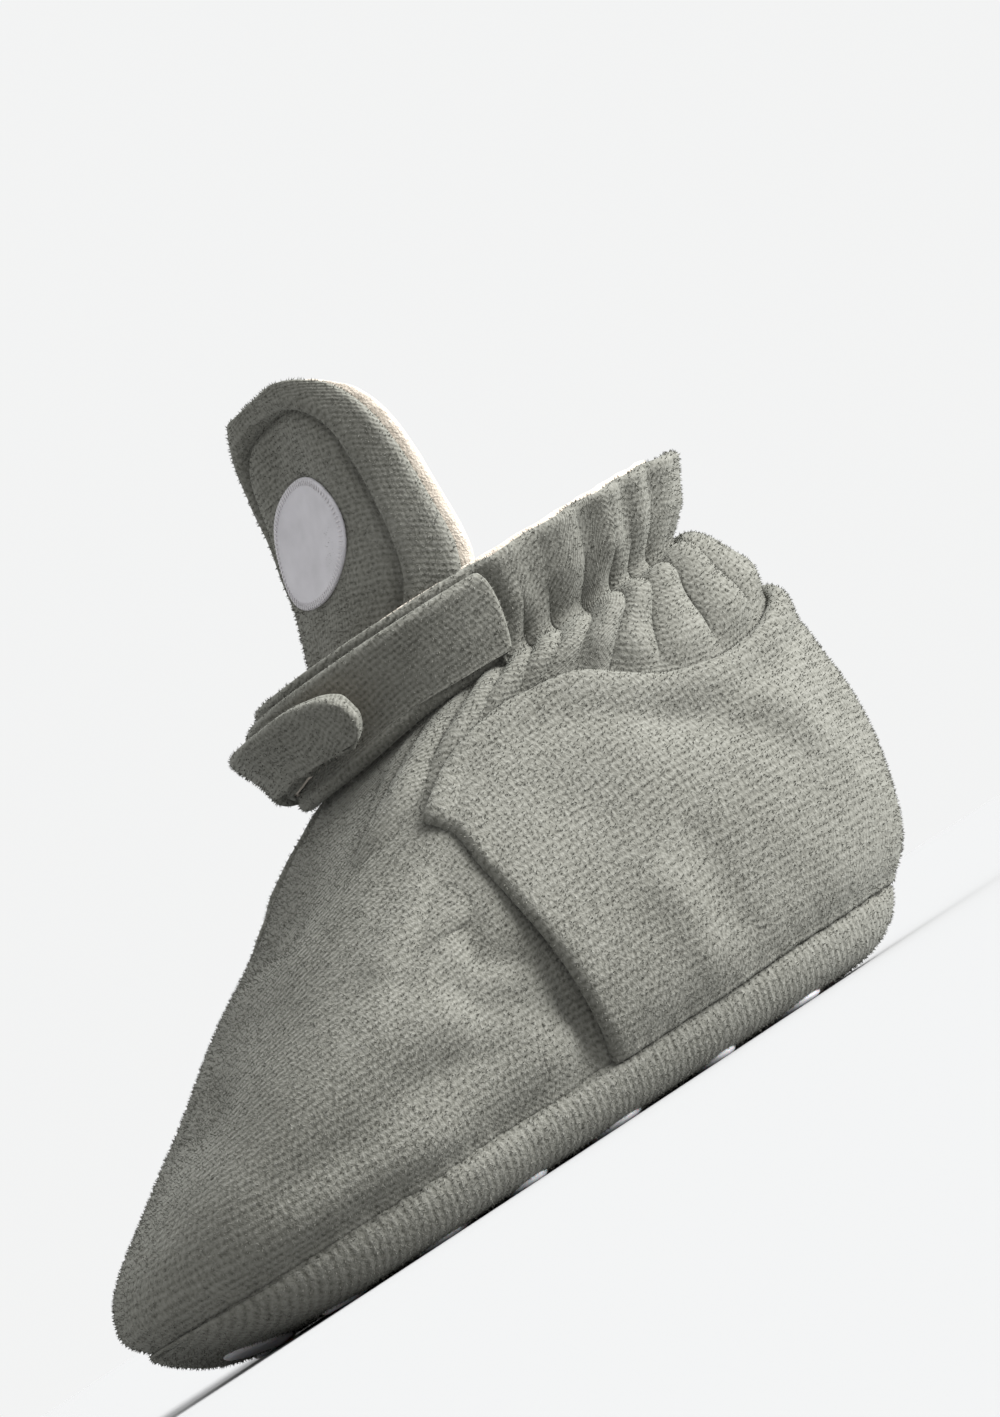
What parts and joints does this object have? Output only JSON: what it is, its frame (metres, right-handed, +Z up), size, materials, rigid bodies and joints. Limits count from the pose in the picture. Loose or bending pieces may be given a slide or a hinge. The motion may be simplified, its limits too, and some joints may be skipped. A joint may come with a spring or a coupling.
{
  "type": "bootie slipper",
  "caption": "Soft baby bootie for the right foot in sage pile knit, with a gathered ankle, ruffled collar, tall tongue, wrap straps and round grip dots on the sole.",
  "frame": {"origin": "on the floor, below the middle of the bounding box", "axes": "+Y toward the heel, -Y toward the toe, +X toward the wearer's left, +Z up"},
  "size_m": [0.0606, 0.132, 0.1019],
  "materials": {
    "pile_knit": "soft pile knit",
    "cream_fleece": "brushed fleece",
    "silicone": "smooth satin silicone",
    "woven_label": "woven"
  },
  "bodies": {
    "root": {"upper": "pile_knit", "sole": "pile_knit", "insole": "cream_fleece", "tongue": "pile_knit", "tongue_label": "woven_label", "near_wrap": "pile_knit", "closing_strap": "pile_knit", "grip_dot_01": "silicone", "grip_dot_02": "silicone", "grip_dot_03": "silicone", "grip_dot_04": "silicone", "grip_dot_05": "silicone", "grip_dot_06": "silicone", "grip_dot_07": "silicone", "grip_dot_08": "silicone", "grip_dot_09": "silicone", "grip_dot_10": "silicone", "grip_dot_11": "silicone", "grip_dot_12": "silicone", "grip_dot_13": "silicone", "grip_dot_14": "silicone", "grip_dot_15": "silicone", "grip_dot_16": "silicone", "grip_dot_17": "silicone", "grip_dot_18": "silicone", "grip_dot_19": "silicone", "grip_dot_20": "silicone", "grip_dot_21": "silicone"}
  },
  "joints": []
}
